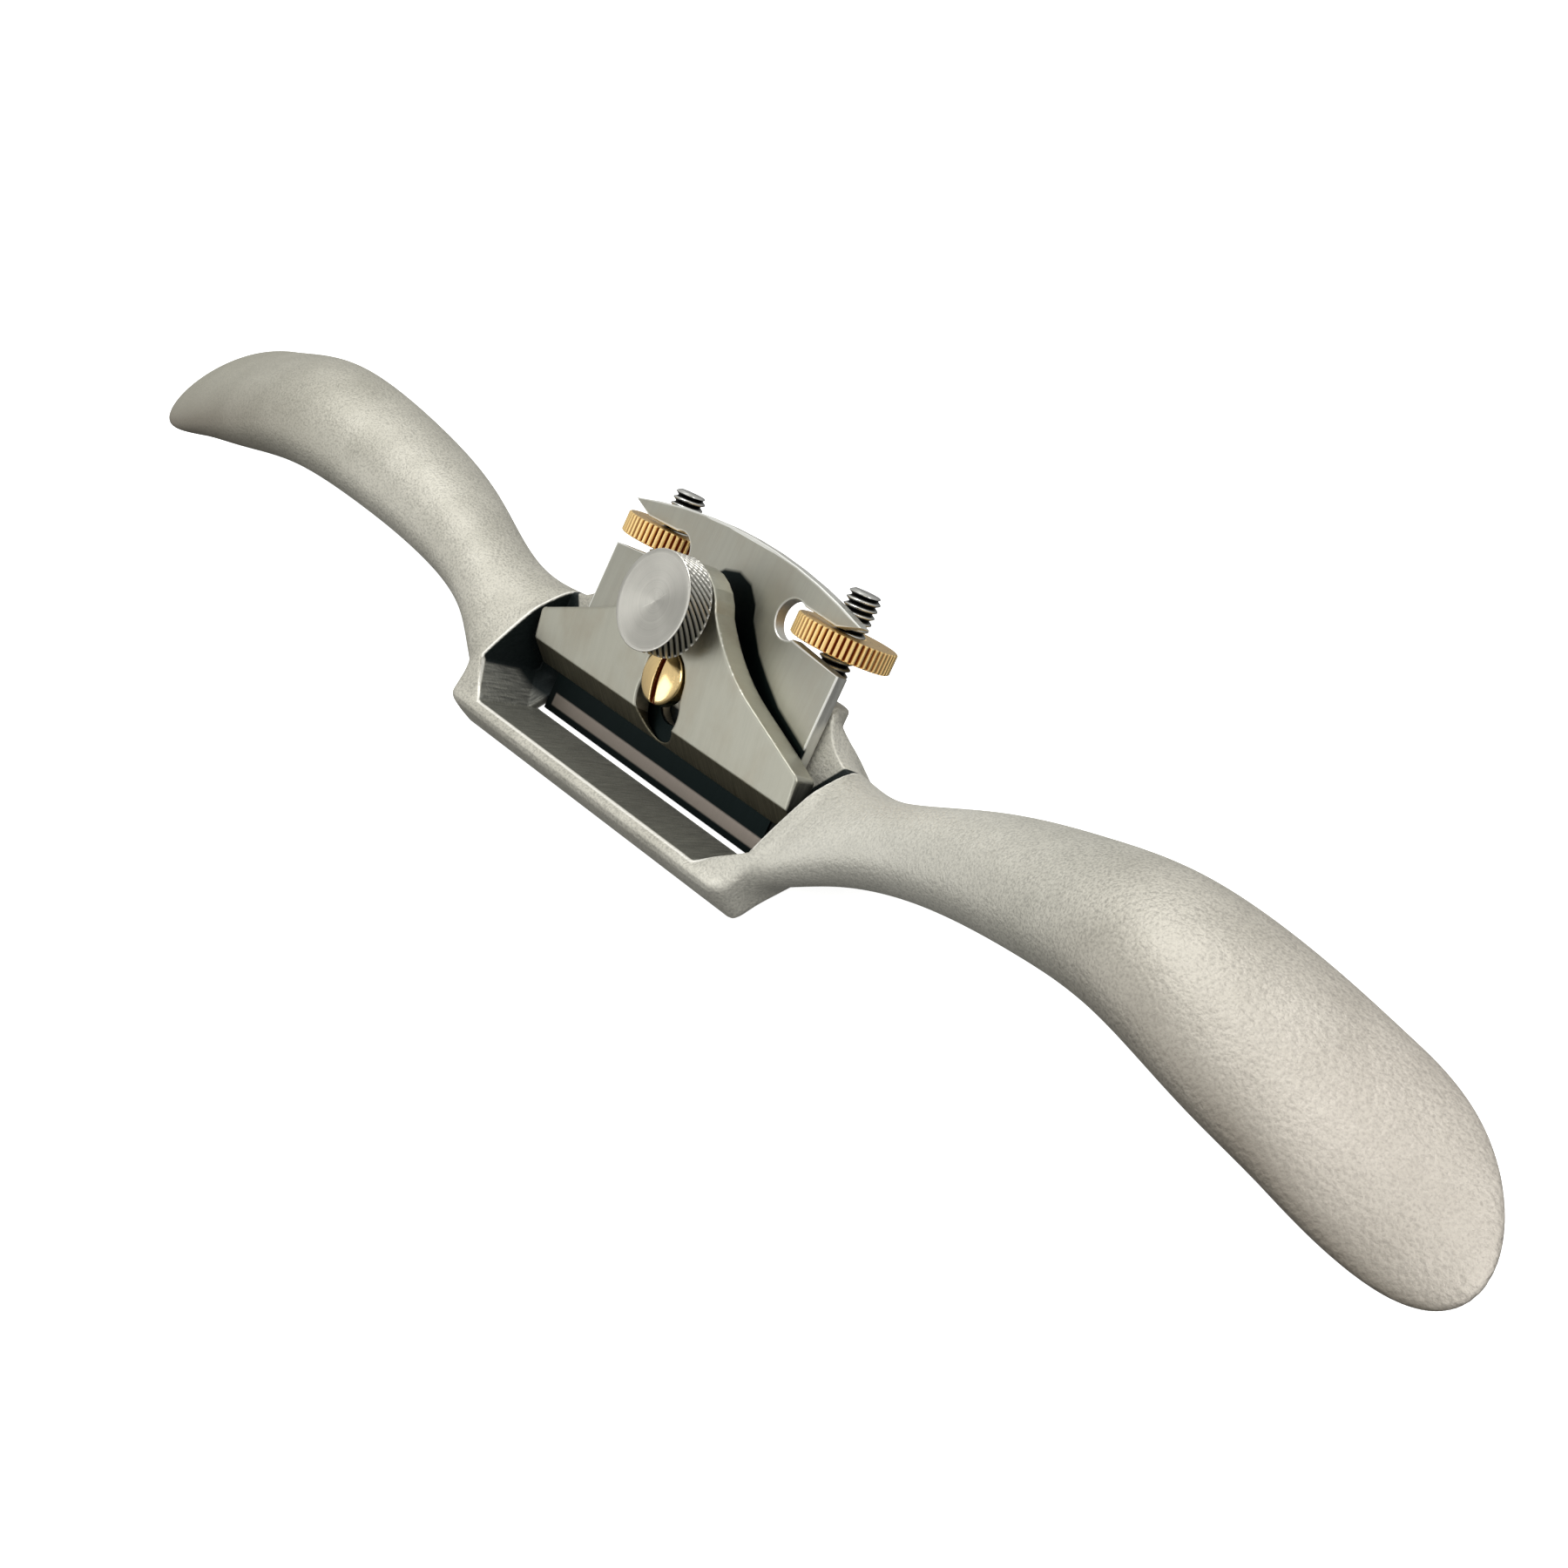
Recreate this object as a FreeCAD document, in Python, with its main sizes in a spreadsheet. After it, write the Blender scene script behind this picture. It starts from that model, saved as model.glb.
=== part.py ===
import FreeCAD, Part
import math
import os

import Sketcher
from FreeCAD import Placement, Rotation, Vector

# A metal spokeshave: a cast body with two gull-wing handles, a slotted iron held on a
# 45 degree bed by a lever cap, and two knurled nuts on studs that set the iron's depth.
#
# The part's frame: X runs along the handles, +Y points away from the front lip, +Z is up.
# The sole lies in z = 0, and the cutting edge lies near the X axis.
# Pieces on the bed are drawn in the bed's own frame (x across, y up the bed, z square to it)
# and turned about X by the bed angle.

doc = FreeCAD.newDocument("spokeshave")
sheet = doc.addObject("Spreadsheet::Sheet", "Sizes")

DRIVING = {
    # overall
    "half_length": 150.0,
    "bed_angle": 45.0,
    # cutting iron
    "iron_width": 54.0,
    "iron_thick": 2.0,
    "iron_side_top": 28.1,
    "iron_tail_tip": 35.5,
    "iron_tail_under": 33.9,
    "iron_top": 38.7,
    "iron_edge_up": 0.15,
    "iron_bevel_angle": 30.0,
    "notch_x": 14.0,
    "notch_up": 31.6,
    "notch_radius": 3.0,
    "notch_mouth": 29.2,
    "iron_slot_width": 7.0,
    "iron_slot_low": 12.6,
    "iron_slot_high": 19.4,
    # lever cap
    "cap_half_width": 32.0,
    "cap_toe_up": 6.0,
    "cap_line_up": 9.3,
    "cap_line_rise": 3.3,
    "cap_tilt": 10.7,
    "cap_side_low": 10.2,
    "cap_side_high": 14.5,
    "cap_shoulder_x": 18.5,
    "cap_shoulder_up": 19.3,
    "cap_shoulder_radius": 28.1,
    "cap_neck_half": 6.6,
    "cap_neck_up": 28.0,
    "cap_crown_radius": 6.86,
    "cap_top": 33.0,
    "cap_relief_rise": 0.35,
    "cap_relief_end": 16.0,
    "cap_clearance": 0.03,
    "keyhole_radius": 5.0,
    "keyhole_up": 11.5,
    "keyhole_slot_width": 5.6,
    "keyhole_floor": 3.0,
    # lever cap screw
    "cap_screw_up": 15.6,
    "cap_screw_head_radius": 4.2,
    "cap_screw_head_low": 3.1,
    "cap_screw_head_edge": 4.9,
    "cap_screw_head_top": 5.9,
    "cap_screw_radius": 2.5,
    "cap_screw_end": 9.0,
    "screw_slot_width": 1.0,
    "screw_slot_depth": 1.3,
    # thumbscrew, along its own axis from the cap's face
    "thumb_up": 25.8,
    "thumb_radius": 7.5,
    "thumb_thick": 4.55,
    "thumb_stand_off": 1.65,
    "thumb_collar_radius": 3.6,
    "thumb_collar_low": 0.8,
    "thumb_shank_radius": 2.9,
    "thumb_dish": 0.6,
    "thumb_chamfer": 0.12,
    # adjusting studs and nuts
    "stud_x": 20.9,
    "stud_back": 4.6,
    "stud_radius": 2.5,
    "stud_root_radius": 2.1,
    "stud_low": 13.0,
    "stud_top": 39.6,
    "nut_radius": 7.6,
    "nut_thick": 3.2,
    "nut_up": 30.3,
    "nut_chamfer": 0.3,
    # body frame
    "frame_half_width": 35.5,
    "frame_corner_radius": 4.0,
    "frame_back_radius": 7.0,
    "sole_front": 9.4,
    "sole_back": 17.5,
    "lip_front": 11.6,
    "lip_height": 6.9,
    "back_chamfer": 1.6,
    "side_height": 8.2,
    "side_back": 3.65,
    "rear_height": 11.3,
    "rear_y": 10.2,
    "bed_top_up": 23.0,
    "bed_back_y": 19.0,
    "bed_half_width": 27.2,
    "taper_top_up": 22.0,
    "taper_low_up": 9.5,
    "taper_run": 0.75,
    "ear_height": 11.5,
    "boss_radius": 4.8,
    "boss_top": 23.6,
    "boss_low": 11.5,
    # throat and mouth
    "throat_half_width": 34.4,
    "throat_floor": 1.3,
    "mouth_half_width": 27.4,
    "mouth_front": 0.75,
    "ramp_run": 1.247,
    "facet_front_x": 28.7,
    "facet_back_y": 5.4,
    "facet_back_run": 1.11,
    "bed_clearance": 0.03,
    "flank_drop": 0.35,
    "tap_clearance": 0.02,
}

for row, (alias, number) in enumerate(DRIVING.items(), start=1):
    sheet.set(f"A{row}", alias)
    sheet.set(f"B{row}", str(number))
    sheet.setAlias(f"B{row}", alias)

# The handle's stations, from the frame outwards: how far out, how far back and how high the
# section's centre lies, its half width and half thickness, and its roll in degrees.
STATIONS = {
    "root": (31.0, 4.3, 6.1, 12.6, 5.6, 8.0),
    "shoulder": (38.0, 5.6, 6.9, 10.3, 5.5, 3.0),
    "waist": (46.0, 7.6, 8.6, 8.1, 5.7, -8.0),
    "rise": (63.4, 11.2, 12.9, 8.6, 7.0, -15.0),
    "arm": (80.7, 11.9, 16.9, 10.2, 8.1, -16.0),
    "crest": (98.1, 10.2, 21.0, 11.2, 8.2, -6.0),
    "palm": (115.4, 8.6, 19.4, 12.3, 6.9, 1.0),
    "droop": (128.0, 7.5, 17.0, 12.1, 5.2, 5.0),
    "taper": (135.0, 6.5, 15.6, 11.6, 4.2, 8.0),
    "end": (141.0, 5.3, 14.2, 10.1, 3.0, 12.0),
    "nose": (145.5, 4.1, 13.0, 7.9, 2.0, 15.0),
    "bluff": (148.5, 3.3, 12.2, 4.9, 1.2, 17.0),
    "tip": (150.0, 2.9, 11.9, 1.6, 0.6, 18.0),
}
STATION_FIELDS = ("out", "back", "high", "half_width", "half_thick", "roll")

row = len(DRIVING) + 2
for station, numbers in STATIONS.items():
    for field, number in zip(STATION_FIELDS, numbers):
        sheet.set(f"A{row}", f"{station}_{field}")
        sheet.set(f"B{row}", str(number))
        sheet.setAlias(f"B{row}", f"{station}_{field}")
        row += 1
doc.recompute()


class Size:
    """A number together with the sheet expression that it comes from."""

    def __init__(self, number, text):
        self.number = float(number)
        self.text = text

    def __add__(self, other):
        other = as_size(other)
        return Size(self.number + other.number, f"({self.text} + {other.text})")

    def __sub__(self, other):
        other = as_size(other)
        return Size(self.number - other.number, f"({self.text} - {other.text})")

    def __mul__(self, other):
        other = as_size(other)
        return Size(self.number * other.number, f"({self.text} * {other.text})")

    def __truediv__(self, other):
        other = as_size(other)
        return Size(self.number / other.number, f"({self.text} / {other.text})")

    def __neg__(self):
        return Size(-self.number, f"(-1 * {self.text})")


def as_size(thing):
    return thing if isinstance(thing, Size) else Size(thing, f"{thing}")


def size(alias):
    """The sheet's cell of this name."""
    return Size(getattr(sheet, alias), f"Sizes.{alias}")


def sine(angle):
    return Size(math.sin(math.radians(angle.number)), f"sin({angle.text} * 1 deg)")


def cosine(angle):
    return Size(math.cos(math.radians(angle.number)), f"cos({angle.text} * 1 deg)")


def tangent(angle):
    return Size(math.tan(math.radians(angle.number)), f"tan({angle.text} * 1 deg)")


def bind(thing, name, length):
    """Set one property of an object from the sheet."""
    thing.setExpression(name, as_size(length).text)


# ---------------------------------------------------------------- sketch helpers

ACROSS = Rotation(Vector(1, 1, 1), 120)  # a sketch's x and y become the part's Y and Z


def hold(sketch, geometry, end, point):
    """Hold one end of a sketch's line at a point that is bound to the sheet."""
    for kind, length in zip(("DistanceX", "DistanceY"), point):
        length = as_size(length)
        rule = Sketcher.Constraint(kind, -1, 1, geometry, end, length.number)
        index = sketch.addConstraint(rule)
        sketch.setExpression(f"Constraints[{index}]", length.text)


def vector(point):
    return Vector(as_size(point[0]).number, as_size(point[1]).number, 0)


def outline(sketch, points):
    """Draw a closed outline. A third value on a point rounds the run to the next point into
    an arc of that radius, bulging to the right of the way there, or left if it is negative."""
    for index, start in enumerate(points):
        stop = points[(index + 1) % len(points)]
        first, last = vector(start), vector(stop)
        if len(start) == 2:
            edge = sketch.addGeometry(Part.LineSegment(first, last))
            hold(sketch, edge, 1, start)
            hold(sketch, edge, 2, stop)
            continue
        radius = as_size(start[2])
        way = last - first
        reach = abs(radius.number)
        sagitta = reach - math.sqrt(reach ** 2 - way.Length ** 2 / 4)
        side = Vector(way.y, -way.x, 0).normalize() * math.copysign(sagitta, radius.number)
        ends = (start, stop) if radius.number > 0 else (stop, start)
        middle = (first + last) / 2 + side
        edge = sketch.addGeometry(Part.Arc(vector(ends[0]), middle, vector(ends[1])))
        hold(sketch, edge, 1, ends[0])
        hold(sketch, edge, 2, ends[1])
        rule = sketch.addConstraint(Sketcher.Constraint("Radius", edge, reach))
        text = radius.text if radius.number > 0 else f"-1 * {radius.text}"
        sketch.setExpression(f"Constraints[{rule}]", text)


def round_end(sketch, half, low, high):
    """Draw an upright slot with a square lower end and a round upper one."""
    outline(sketch, [(half, low), (half, high, half * 1.001), (-half, high), (-half, low)])


def circle(sketch, centre, radius):
    edge = sketch.addGeometry(Part.Circle(vector(centre), Vector(0, 0, 1), radius.number))
    hold(sketch, edge, 3, centre)
    rule = sketch.addConstraint(Sketcher.Constraint("Radius", edge, radius.number))
    sketch.setExpression(f"Constraints[{rule}]", radius.text)


# ---------------------------------------------------------------- body helpers


def new_body(name):
    """A part design body on the bed: its own frame is turned about X by the bed angle."""
    body = doc.addObject("PartDesign::Body", name)
    body.Label = name
    body.Placement = Placement(Vector(0, 0, 0), Rotation(Vector(1, 0, 0), sheet.bed_angle))
    bind(body, "Placement.Rotation.Angle", size("bed_angle"))
    return body


def sketch_in(body, role, name, height=None):
    """A sketch on one of the body's own origin planes, raised off it by a height."""
    plane = next(item for item in body.Origin.OriginFeatures if item.Role == role)
    sketch = body.newObject("Sketcher::SketchObject", name)
    sketch.AttachmentSupport = [(plane, "")]
    sketch.MapMode = "FlatFace"
    if height is not None:
        height = as_size(height)
        sketch.AttachmentOffset = Placement(Vector(0, 0, height.number), Rotation())
        bind(sketch, "AttachmentOffset.Base.z", height)
    return sketch


def pad(body, sketch, name, length, midplane=False):
    feature = body.newObject("PartDesign::Pad", name)
    feature.Profile = sketch
    feature.Midplane = midplane
    bind(feature, "Length", length)
    body.Tip = feature
    return feature


def pocket(body, sketch, name, length, midplane=False, reverse=False):
    """A pocket, which must remove metal."""
    doc.recompute()
    before = body.Shape.Volume
    feature = body.newObject("PartDesign::Pocket", name)
    feature.Profile = sketch
    feature.Midplane = midplane
    feature.Reversed = reverse
    bind(feature, "Length", length)
    body.Tip = feature
    doc.recompute()
    if before - body.Shape.Volume < 0.01:
        raise RuntimeError(f"{name} removes nothing")
    return feature


def mirror_in(body, originals, name):
    """The same features again on the other side of the middle."""
    feature = body.newObject("PartDesign::Mirrored", name)
    plane = next(item for item in body.Origin.OriginFeatures if item.Role == "YZ_Plane")
    feature.Originals = originals
    feature.MirrorPlane = (plane, [""])
    body.Tip = feature
    return feature


def revolve(body, sketch, name):
    feature = body.newObject("PartDesign::Revolution", name)
    feature.Profile = sketch
    feature.ReferenceAxis = (sketch, ["V_Axis"])
    feature.Angle = 360.0
    body.Tip = feature
    return feature


def check_adds(body, before, name):
    """A feature that should add metal must do so."""
    doc.recompute()
    if body.Shape.Volume - before < 0.01:
        raise RuntimeError(f"{name} adds nothing")


POLES = 8
POLE_REACH = 6 / (4 + 2 * math.cos(2 * math.pi / POLES))  # a pole's distance, for a curve at 1


def oval(sketch, centre, long_half, short_half, roll):
    """A closed oval spline, rolled about its centre, with every pole bound to the sheet."""
    places = []
    for index in range(POLES):
        angle = 2 * math.pi * index / POLES
        along = long_half * (POLE_REACH * math.cos(angle))
        aside = short_half * (POLE_REACH * math.sin(angle))
        places.append((
            centre[0] + cosine(roll) * along - sine(roll) * aside,
            centre[1] + sine(roll) * along + cosine(roll) * aside,
        ))
    spline = Part.BSplineCurve([vector(place) for place in places], None, None, True, 3, None, False)
    edge = sketch.addGeometry(spline)
    sketch.exposeInternalGeometry(edge)
    for index, place in enumerate(places):
        hold(sketch, edge + 1 + index, 3, place)


def up_bed(sketch, height, turn):
    """Turn a sketch of the XY plane about X and raise it square to itself."""
    sketch.AttachmentOffset = Placement(
        Vector(0, -(sine(turn) * height).number, (cosine(turn) * height).number),
        Rotation(Vector(1, 0, 0), turn.number),
    )
    bind(sketch, "AttachmentOffset.Rotation.Angle", turn)
    bind(sketch, "AttachmentOffset.Base.y", -(sine(turn) * height))
    bind(sketch, "AttachmentOffset.Base.z", cosine(turn) * height)


# ---------------------------------------------------------------- body casting

bed = size("bed_angle")
zero = Size(0, "0")


def bed_point(up, rise):
    """A point of the side view, from its place up the bed and square to the bed."""
    return cosine(bed) * up - sine(bed) * rise, sine(bed) * up + cosine(bed) * rise


def bed_at_height(rise, height):
    """How far back a plane parallel to the bed lies at a given height."""
    return (height - rise / cosine(bed)) / tangent(bed)


casting = doc.addObject("PartDesign::Body", "body_casting")
casting.Label = "body_casting"
casting.Placement = Placement(Vector(0, 0, 0), Rotation())

# The frame's side view: sole, front lip leaning forward, rising rims and a square back.
lip_shoulder = size("lip_height") - 1.1
back = size("bed_back_y") - 0.6
chamfer = size("back_chamfer")
side_view = [
    (-size("sole_front"), zero),
    (size("sole_back"), zero),
    (back, chamfer),
    (back, size("ear_height") - chamfer),
    (back - chamfer, size("ear_height")),
    (size("rear_y") + 2, size("ear_height")),
    (size("rear_y"), size("rear_height")),
    (-size("side_back"), size("side_height")),
    (-(size("mouth_front") + size("ramp_run") * size("lip_height")), size("lip_height")),
    (-(size("lip_front") - 0.6), size("lip_height")),
    (-size("lip_front"), lip_shoulder),
]
sketch = sketch_in(casting, "YZ_Plane", "side_view")
outline(sketch, side_view)
pad(casting, sketch, "frame_block", size("frame_half_width") * 2, midplane=True)
doc.recompute()

# The corners of the plan are rounded, front and back.
right = size("frame_half_width")
plan_ends = (
    (-size("lip_front"), -1, size("frame_corner_radius")),
    (back, 1, size("frame_back_radius")),
)
sketch = sketch_in(casting, "XY_Plane", "plan_corners", Size(-1, "-1"))
for end, way, corner in plan_ends:
    for side in (-1, 1):
        turn = -side * way
        outline(sketch, [
            (right * side, end - corner * way, corner * turn * -1),
            (right * side - corner * side, end),
            (right * side - corner * side, end + corner * way),
            (right * side + corner * side, end + corner * way),
            (right * side + corner * side, end - corner * way),
        ])
pocket(casting, sketch, "rounded_corners", Size(40, "40"), reverse=True)

# The bed block stands behind the iron, square to the bed at its top.
bed_rise = -(size("iron_thick") + size("bed_clearance"))
block_top = size("bed_top_up")
sketch = sketch_in(casting, "YZ_Plane", "bed_view")
outline(sketch, [
    (bed_at_height(bed_rise, Size(3, "3")), Size(3, "3")),
    (size("bed_back_y"), Size(3, "3")),
    (size("bed_back_y"), size("ear_height") - 0.2),
    bed_point(block_top, bed_rise - 1.6),
    bed_point(block_top, bed_rise),
])
volume = casting.Shape.Volume
pad(casting, sketch, "bed_block", size("throat_half_width") * 2, midplane=True)
check_adds(casting, volume, "bed_block")

# Seen square to the bed, the back tapers from the frame's width to the iron's.
sketch = sketch_in(casting, "XY_Plane", "back_shoulders")
up_bed(sketch, Size(-30, "-30"), bed)
taper_top, taper_low, out = size("taper_top_up"), size("taper_low_up"), Size(60, "60")
narrow = size("bed_half_width")
wide = narrow + (taper_top - taper_low) * size("taper_run")
for side in (-1, 1):
    outline(sketch, [
        (narrow * side, taper_top),
        (wide * side, taper_low),
        (out * side, taper_low),
        (out * side, out),
        (narrow * side, out),
    ])
pocket(casting, sketch, "tapered_back", Size(60, "60"), reverse=True)

# Each handle is a loft through rolled ovals.
volume = casting.Shape.Volume
sections = []
for station in STATIONS:
    out, back, high, half_width, half_thick, roll = (
        size(f"{station}_{field}") for field in STATION_FIELDS
    )
    sketch = sketch_in(casting, "YZ_Plane", f"section_{station}", out)
    oval(sketch, (back, high), half_width, half_thick, roll)
    sections.append(sketch)
handle = casting.newObject("PartDesign::AdditiveLoft", "handle_right")
handle.Profile = sections[0]
handle.Sections = sections[1:]
casting.Tip = handle
check_adds(casting, volume, "handle_right")
volume = casting.Shape.Volume
mirror_in(casting, [handle], "handle_left")
check_adds(casting, volume, "handle_left")

# Round bosses carry the adjusting studs.
sketch = sketch_in(casting, "XY_Plane", "boss_plan")
up_bed(sketch, size("boss_low"), -bed)
for side in (-1, 1):
    circle(sketch, (size("stud_x") * side, size("stud_back")), size("boss_radius"))
volume = casting.Shape.Volume
pad(casting, sketch, "stud_bosses", size("boss_top") - size("boss_low"))
check_adds(casting, volume, "stud_bosses")

# The throat: a ramp down to the mouth, and the milled bed behind it, right across the iron.
high = Size(40, "40")
deep = Size(-5, "-5")
mouth_back = Size(3.6, "3.6")
sketch = sketch_in(casting, "YZ_Plane", "throat_view")
outline(sketch, [
    (-(size("mouth_front") + size("ramp_run") * size("lip_height")), high),
    (-(size("mouth_front") + size("ramp_run") * size("lip_height")), size("lip_height")),
    (-size("mouth_front"), zero),
    (-size("mouth_front"), deep),
    (mouth_back, deep),
    (mouth_back, mouth_back * tangent(bed) + bed_rise / cosine(bed)),
    (bed_at_height(bed_rise, high), high),
])
pocket(casting, sketch, "mouth_and_bed", size("mouth_half_width") * 2, midplane=True)

# Beside the iron the throat widens over rough sloping corners to the side walls.
flank_rise = bed_rise - size("flank_drop")


def corner_section(name, across, foot, run, top):
    """The throat's outline across one side section."""
    section = sketch_in(casting, "YZ_Plane", name, across)
    floor = size("throat_floor")
    outline(section, [
        (foot - run * top, high),
        (foot - run * top, top),
        (foot - run * floor, floor),
        (bed_at_height(flank_rise, floor), floor),
        (bed_at_height(flank_rise, high), high),
    ])
    return section


inner = corner_section(
    "corner_inner",
    size("mouth_half_width") - 0.02,
    -size("mouth_front"),
    size("ramp_run"),
    size("lip_height"),
)
outer = corner_section(
    "corner_outer",
    size("throat_half_width"),
    size("facet_back_y"),
    size("facet_back_run"),
    size("side_height"),
)
doc.recompute()
volume = casting.Shape.Volume
throat = casting.newObject("PartDesign::SubtractiveLoft", "throat_corner_right")
throat.Profile = inner
throat.Sections = [outer]
throat.Ruled = True
casting.Tip = throat
doc.recompute()
mirror_in(casting, [throat], "throat_corner_left")
doc.recompute()
if volume - casting.Shape.Volume < 100:
    raise RuntimeError("the throat's corners remove too little")

# Tapped holes for the studs and the lever cap screw, drawn as plain bores.
sketch = sketch_in(casting, "XY_Plane", "stud_holes")
up_bed(sketch, size("stud_low") - 0.3, -bed)
stud_bore = size("stud_root_radius") + size("tap_clearance")
for side in (-1, 1):
    circle(sketch, (size("stud_x") * side, size("stud_back")), stud_bore)
pocket(casting, sketch, "stud_bores", Size(20, "20"), reverse=True)
sketch = sketch_in(casting, "XY_Plane", "cap_screw_hole")
up_bed(sketch, -(size("cap_screw_end") + 0.3), bed)
circle(sketch, (zero, size("cap_screw_up")), size("cap_screw_radius") + size("tap_clearance"))
pocket(casting, sketch, "cap_screw_bore", Size(20, "20"), reverse=True)

# ---------------------------------------------------------------- blade

blade = new_body("blade")
half = size("iron_width") / 2
edge_up = size("iron_edge_up")
notch_x, notch_up, notch_r = size("notch_x"), size("notch_up"), size("notch_radius")
crown = Size(106, "106")
tail_x = half
right_side = [
    (half, edge_up),
    (half, size("iron_side_top")),
    (notch_x + 2, size("notch_mouth"), -notch_r),
    (notch_x - notch_r, notch_up, -notch_r),
    (notch_x + 1.5, size("iron_tail_under") + 0.2),
    (notch_x + 8.6, size("iron_tail_under")),
    (tail_x, size("iron_tail_tip"), crown),
]
left_side = [
    (-tail_x, size("iron_tail_tip")),
    (-(notch_x + 8.6), size("iron_tail_under")),
    (-(notch_x + 1.5), size("iron_tail_under") + 0.2, -notch_r),
    (-(notch_x - notch_r), notch_up, -notch_r),
    (-(notch_x + 2), size("notch_mouth")),
    (-half, size("iron_side_top")),
    (-half, edge_up),
]
sketch = sketch_in(blade, "XY_Plane", "iron_plan", -size("iron_thick"))
outline(sketch, right_side + left_side)
slot_half = size("iron_slot_width") / 2
low, top = size("iron_slot_low"), size("iron_slot_high")
outline(sketch, [
    (slot_half, low),
    (slot_half, top, slot_half * 1.001),
    (-slot_half, top),
    (-slot_half, low, slot_half * 1.001),
])
pad(blade, sketch, "plate", size("iron_thick"))

# The bevel is ground on the back, so that the front face runs straight to the edge.
bevel_run = size("iron_thick") / tangent(size("iron_bevel_angle"))
sketch = sketch_in(blade, "YZ_Plane", "bevel_view")
outline(sketch, [
    (edge_up, zero),
    (edge_up - 2, zero),
    (edge_up - 2, -size("iron_thick") - 1),
    (edge_up + bevel_run + bevel_run / size("iron_thick"), -size("iron_thick") - 1),
])
pocket(blade, sketch, "bevel", size("iron_width") + 2, midplane=True)

# ---------------------------------------------------------------- lever cap

cap = new_body("lever_cap")
tilt = size("cap_tilt")
toe, line_up, line_rise = size("cap_toe_up"), size("cap_line_up"), size("cap_line_rise")
neck = size("cap_neck_half")
cap_top = size("cap_top")
under_end = size("cap_relief_rise") + tangent(tilt) * (cap_top - size("cap_relief_end"))
sketch = sketch_in(cap, "YZ_Plane", "cap_view")
outline(sketch, [
    (toe, size("cap_clearance")),
    (toe + 1.2, size("cap_clearance")),
    (toe + 1.8, size("cap_relief_rise")),
    (size("cap_relief_end"), size("cap_relief_rise")),
    (cap_top, under_end),
    (cap_top, line_rise + tangent(tilt) * (cap_top - line_up)),
    (line_up, line_rise),
])
pad(cap, sketch, "cap_block", size("cap_half_width") * 2, midplane=True)
wide = size("cap_half_width")
corner_out, corner_up = wide - 1, size("cap_side_high")
shoulder_x, shoulder_up = size("cap_shoulder_x"), size("cap_shoulder_up")
ease, shoulder_r = Size(1.2, "1.2"), -size("cap_shoulder_radius")
shoulder = [
    (wide - 0.4, toe - 1),
    (wide, size("cap_side_low")),
    (wide, corner_up - 0.8, ease),
    (corner_out, corner_up),
    (shoulder_x, shoulder_up, shoulder_r),
    (neck, size("cap_neck_up"), size("cap_crown_radius")),
    (-neck, size("cap_neck_up"), shoulder_r),
    (-shoulder_x, shoulder_up),
    (-corner_out, corner_up, ease),
    (-wide, corner_up - 0.8),
    (-wide, size("cap_side_low")),
    (-(wide - 0.4), toe - 1),
]
sketch = sketch_in(cap, "XY_Plane", "cap_plan", Size(-1, "-1"))
outline(sketch, shoulder)
outline(sketch, [
    (wide + 5, toe - 5),
    (wide + 5, cap_top + 5),
    (-(wide + 5), cap_top + 5),
    (-(wide + 5), toe - 5),
])
pocket(cap, sketch, "cap_outline", Size(20, "20"), reverse=True)

# The keyhole passes over the screw's head, and its narrow end holds the cap under it.
key, key_up = size("keyhole_radius"), size("keyhole_up")
sketch = sketch_in(cap, "XY_Plane", "keyhole", Size(-1, "-1"))
circle(sketch, (zero, key_up), key)
pocket(cap, sketch, "keyhole_round", Size(20, "20"), reverse=True)
narrow = size("keyhole_slot_width") / 2
reach = size("cap_screw_up") + 0.6
sketch = sketch_in(cap, "XY_Plane", "keyhole_neck", Size(-1, "-1"))
round_end(sketch, narrow, key_up, reach)
pocket(cap, sketch, "keyhole_slot", Size(20, "20"), reverse=True)
seat = size("cap_screw_head_radius") + 0.4
sketch = sketch_in(cap, "XY_Plane", "keyhole_seat", size("keyhole_floor"))
round_end(sketch, seat, key_up, reach - 0.6)
pocket(cap, sketch, "screw_seat", Size(20, "20"), reverse=True)

# The thumbscrew's tapped hole is square to the bed.
thumb_up = size("thumb_up")
thumb_rise = line_rise + tangent(tilt) * (thumb_up - line_up)
sketch = sketch_in(cap, "XY_Plane", "thumb_hole", Size(-1, "-1"))
circle(sketch, (zero, thumb_up), size("thumb_shank_radius") + size("tap_clearance"))
pocket(cap, sketch, "thumb_bore", Size(30, "30"), reverse=True)

# ---------------------------------------------------------------- thumbscrew


def turned(name, place, turn, profile):
    """A turned piece: its profile, as radius and height, revolved about its own Z axis."""
    body = doc.addObject("PartDesign::Body", name)
    body.Label = name
    across, back, height = place
    body.Placement = Placement(
        Vector(across.number, back.number, height.number), Rotation(Vector(1, 0, 0), turn.number)
    )
    bind(body, "Placement.Base.x", across)
    bind(body, "Placement.Base.y", back)
    bind(body, "Placement.Base.z", height)
    bind(body, "Placement.Rotation.Angle", turn)
    section = sketch_in(body, "XZ_Plane", f"{name}_section")
    outline(section, profile)
    revolve(body, section, f"{name}_turned")
    doc.recompute()
    return body


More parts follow.
